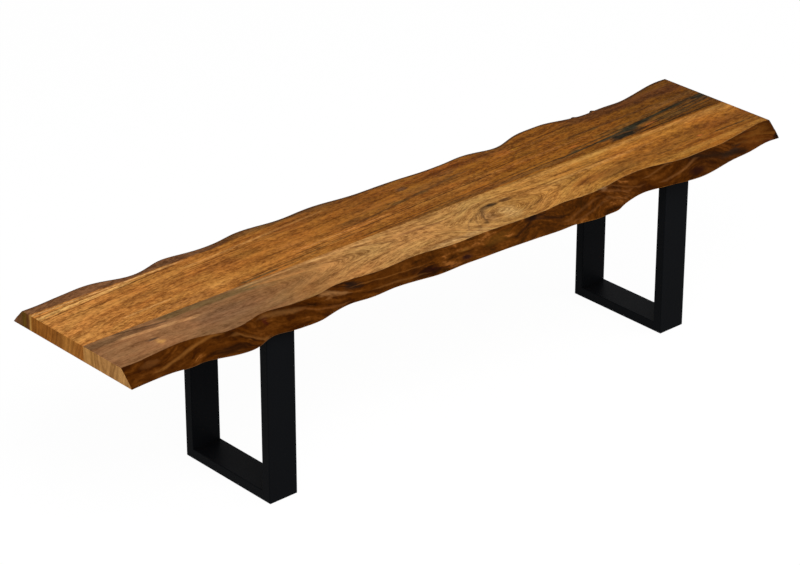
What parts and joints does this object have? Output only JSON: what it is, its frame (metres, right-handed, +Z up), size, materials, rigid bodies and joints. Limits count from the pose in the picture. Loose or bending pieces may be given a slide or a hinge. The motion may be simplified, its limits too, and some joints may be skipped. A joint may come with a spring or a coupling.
{
  "type": "live edge bench",
  "caption": "Long backless bench with a waved live edge seat of glued boards on U-shaped legs of flat black tube with floor glides.",
  "frame": {"origin": "on the floor under the middle of the seat's bounding box", "axes": "+X along the bench to its right end, +Y to its rear edge, +Z up through the seat's top"},
  "size_m": [2, 0.4988, 0.465],
  "materials": {
    "front_board_wood": "oiled light golden brown wood with a dark live edge",
    "rear_board_wood": "oiled golden to reddish brown wood with a dark live edge",
    "leg_paint": "satin black powder coat",
    "bolt_steel": "zinc plated",
    "washer_steel": "zinc plated",
    "insert_brass": "turned brass",
    "glide_plastic": "matte black"
  },
  "bodies": {
    "root": {"front_board": "front_board_wood", "rear_board": "rear_board_wood", "left_front_upright": "leg_paint", "left_rear_upright": "leg_paint", "left_bottom_rail": "leg_paint", "left_mounting_plate": "leg_paint", "left_bolts": "bolt_steel", "left_washers": "washer_steel", "left_threaded_inserts": "insert_brass", "left_front_glide": "glide_plastic", "left_rear_glide": "glide_plastic", "right_front_upright": "leg_paint", "right_rear_upright": "leg_paint", "right_bottom_rail": "leg_paint", "right_mounting_plate": "leg_paint", "right_bolts": "bolt_steel", "right_washers": "washer_steel", "right_threaded_inserts": "insert_brass", "right_front_glide": "glide_plastic", "right_rear_glide": "glide_plastic"}
  },
  "joints": []
}
